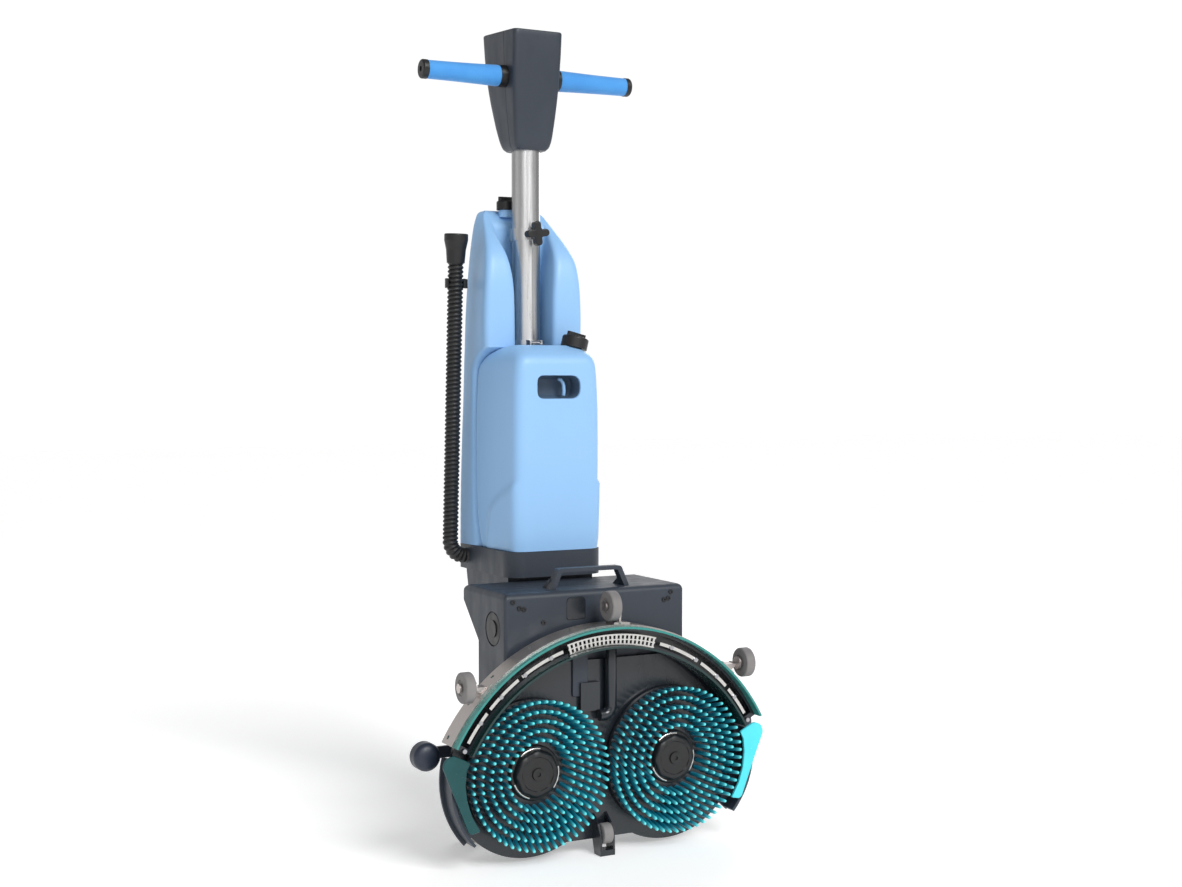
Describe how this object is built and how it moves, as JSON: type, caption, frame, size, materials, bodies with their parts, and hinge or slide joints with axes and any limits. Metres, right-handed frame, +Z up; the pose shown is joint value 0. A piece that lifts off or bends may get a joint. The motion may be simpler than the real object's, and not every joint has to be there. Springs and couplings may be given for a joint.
{
  "type": "wet dry floor scrubber",
  "caption": "Upright wet dry floor scrubber, parked: folded twin-brush deck with arched squeegee, column with clean and recovery tanks, and a T handlebar.",
  "frame": {"origin": "on the floor under the middle of the parked machine", "axes": "+Z up, +X to the operator's right as the brushes are faced, the folded deck's underside faces -Y"},
  "size_m": [0.543, 0.363, 1.1915],
  "materials": {
    "slate_plastic": "fine-textured moulded plastic",
    "tank_blue": "satin rotational-moulded polyethylene",
    "grip_blue": "soft grip with a fine weave",
    "tube_aluminium": "bright anodised tube",
    "black_plastic": "black moulded plastic",
    "bristle_teal": "nylon bristle",
    "band_steel": "bent strip steel",
    "blade_rubber": "translucent polyurethane blade",
    "skirt_teal": "translucent splash skirt",
    "roller_grey": "grey non-marking tread",
    "strip_metal": "bright strip",
    "pin_steel": "turned steel",
    "bush_bronze": "sintered bronze",
    "battery_case": "dark battery case",
    "motor_steel": "painted motor can",
    "lens_clear": "smoked lens",
    "board_green": "circuit board"
  },
  "bodies": {
    "deck": {"deck_box": "slate_plastic", "side_plugs": "black_plastic", "box_screws": "black_plastic", "pivot_pin": "pin_steel", "bail_handle": "slate_plastic", "deck_plate": "slate_plastic", "deck_rear_cover": "slate_plastic", "brush_motors": "motor_steel", "battery": "battery_case", "suction_pipe": "black_plastic", "side_guards": "slate_plastic", "side_skirts": "skirt_teal", "cover_brackets": "slate_plastic", "front_fork": "slate_plastic"},
    "column": {"column_tube": "tube_aluminium", "head_front_shell": "slate_plastic", "head_rear_shell": "slate_plastic", "head_panel": "black_plastic", "display_lens": "lens_clear", "control_board": "board_green", "handlebar_tube": "pin_steel", "grips": "grip_blue", "grip_fittings": "black_plastic", "tube_collars": "black_plastic", "drain_hose": "black_plastic", "hose_cuff": "black_plastic", "base_front_cover": "slate_plastic", "base_rear_housing": "slate_plastic", "pivot_bushes": "bush_bronze", "fan_motor": "motor_steel", "water_pump": "black_plastic"},
    "star_knob": {"star_knob": "black_plastic"},
    "power_button": {"power_button": "grip_blue"},
    "pump_button": {"pump_button": "black_plastic"},
    "clean_tank": {"clean_tank": "tank_blue"},
    "filler_cap": {"filler_cap": "black_plastic"},
    "recovery_tank": {"recovery_tank": "tank_blue", "hose_clip": "black_plastic"},
    "recovery_cap": {"recovery_cap": "black_plastic"},
    "tank_latch": {"tank_latch": "pin_steel"},
    "squeegee": {"squeegee_band": "band_steel", "squeegee_blades": "blade_rubber", "squeegee_beam": "black_plastic", "channel_strips": "strip_metal", "strip_screws": "pin_steel", "roller_brackets": "band_steel"},
    "left_support_roller": {"left_support_roller": "roller_grey"},
    "top_support_roller": {"top_support_roller": "roller_grey"},
    "right_support_roller": {"right_support_roller": "roller_grey"},
    "left_brush": {"left_brush_disc": "black_plastic", "left_bristles": "bristle_teal", "left_brush_hub": "black_plastic"},
    "right_brush": {"right_brush_disc": "black_plastic", "right_bristles": "bristle_teal", "right_brush_hub": "black_plastic"},
    "left_bumper_roller": {"left_bumper_roller": "slate_plastic"},
    "right_bumper_roller": {"right_bumper_roller": "slate_plastic"},
    "left_rear_wheel": {"left_rear_wheel": "roller_grey"},
    "right_rear_wheel": {"right_rear_wheel": "roller_grey"},
    "front_roller": {"front_roller": "roller_grey"}
  },
  "joints": [
    {"name": "column_fold", "type": "hinge", "parent": "deck", "child": "column", "pos_m": [0, 0.0045, 0.29], "axis": [1, 0, 0], "range_deg": [-90, 0]},
    {"name": "star_knob_turn", "type": "hinge", "parent": "column", "child": "star_knob", "pos_m": [0, 0.071, 0.886], "axis": [0, -1, 0], "continuous": true},
    {"name": "power_button_press", "type": "slide", "parent": "column", "child": "power_button", "axis": [0, 0, -1], "range_m": [0, 0.0015], "stiffness_N_per_m": 400},
    {"name": "pump_button_press", "type": "slide", "parent": "column", "child": "pump_button", "axis": [0, 0, -1], "range_m": [0, 0.0015], "stiffness_N_per_m": 400},
    {"name": "clean_tank_slide", "type": "slide", "parent": "column", "child": "clean_tank", "axis": [0, -1, 0], "range_m": [0, 0.12]},
    {"name": "filler_cap_turn", "type": "hinge", "parent": "clean_tank", "child": "filler_cap", "pos_m": [0.044, 0.0415, 0.705], "axis": [0.2419, 0, 0.9703], "continuous": true},
    {"name": "recovery_tank_slide", "type": "slide", "parent": "column", "child": "recovery_tank", "axis": [0, 1, 0], "range_m": [0, 0.12]},
    {"name": "recovery_cap_turn", "type": "hinge", "parent": "recovery_tank", "child": "recovery_cap", "pos_m": [-0.016, 0.1475, 0.926], "axis": [0, 0, 1], "continuous": true},
    {"name": "tank_latch_lift", "type": "hinge", "parent": "column", "child": "tank_latch", "pos_m": [0, 0.079, 0.721], "axis": [1, 0, 0], "range_deg": [-80, 0]},
    {"name": "squeegee_float", "type": "slide", "parent": "deck", "child": "squeegee", "axis": [0, 1, 0], "range_m": [0, 0.003], "stiffness_N_per_m": 3000},
    {"name": "left_support_roller_spin", "type": "hinge", "parent": "squeegee", "child": "left_support_roller", "pos_m": [-0.22014, -0.1605, 0.25728], "axis": [1, 0, 0], "continuous": true},
    {"name": "top_support_roller_spin", "type": "hinge", "parent": "squeegee", "child": "top_support_roller", "pos_m": [0, -0.1605, 0.353], "axis": [1, 0, 0], "continuous": true},
    {"name": "right_support_roller_spin", "type": "hinge", "parent": "squeegee", "child": "right_support_roller", "pos_m": [0.22014, -0.1605, 0.25728], "axis": [1, 0, 0], "continuous": true},
    {"name": "left_brush_spin", "type": "hinge", "parent": "deck", "child": "left_brush", "pos_m": [-0.109, -0.1315, 0.127], "axis": [0, 1, 0], "continuous": true},
    {"name": "left_bumper_spin", "type": "hinge", "parent": "deck", "child": "left_bumper_roller", "pos_m": [-0.252, -0.0955, 0.156], "axis": [0, 1, 0], "continuous": true},
    {"name": "left_rear_wheel_spin", "type": "hinge", "parent": "deck", "child": "left_rear_wheel", "pos_m": [-0.138, 0.0015, 0.024], "axis": [1, 0, 0], "continuous": true},
    {"name": "right_brush_spin", "type": "hinge", "parent": "deck", "child": "right_brush", "pos_m": [0.109, -0.1315, 0.127], "axis": [0, 1, 0], "continuous": true},
    {"name": "right_bumper_spin", "type": "hinge", "parent": "deck", "child": "right_bumper_roller", "pos_m": [0.252, -0.0955, 0.156], "axis": [0, 1, 0], "continuous": true},
    {"name": "right_rear_wheel_spin", "type": "hinge", "parent": "deck", "child": "right_rear_wheel", "pos_m": [0.138, 0.0015, 0.024], "axis": [1, 0, 0], "continuous": true},
    {"name": "front_roller_spin", "type": "hinge", "parent": "deck", "child": "front_roller", "pos_m": [0, -0.1425, 0.03], "axis": [1, 0, 0], "continuous": true}
  ]
}
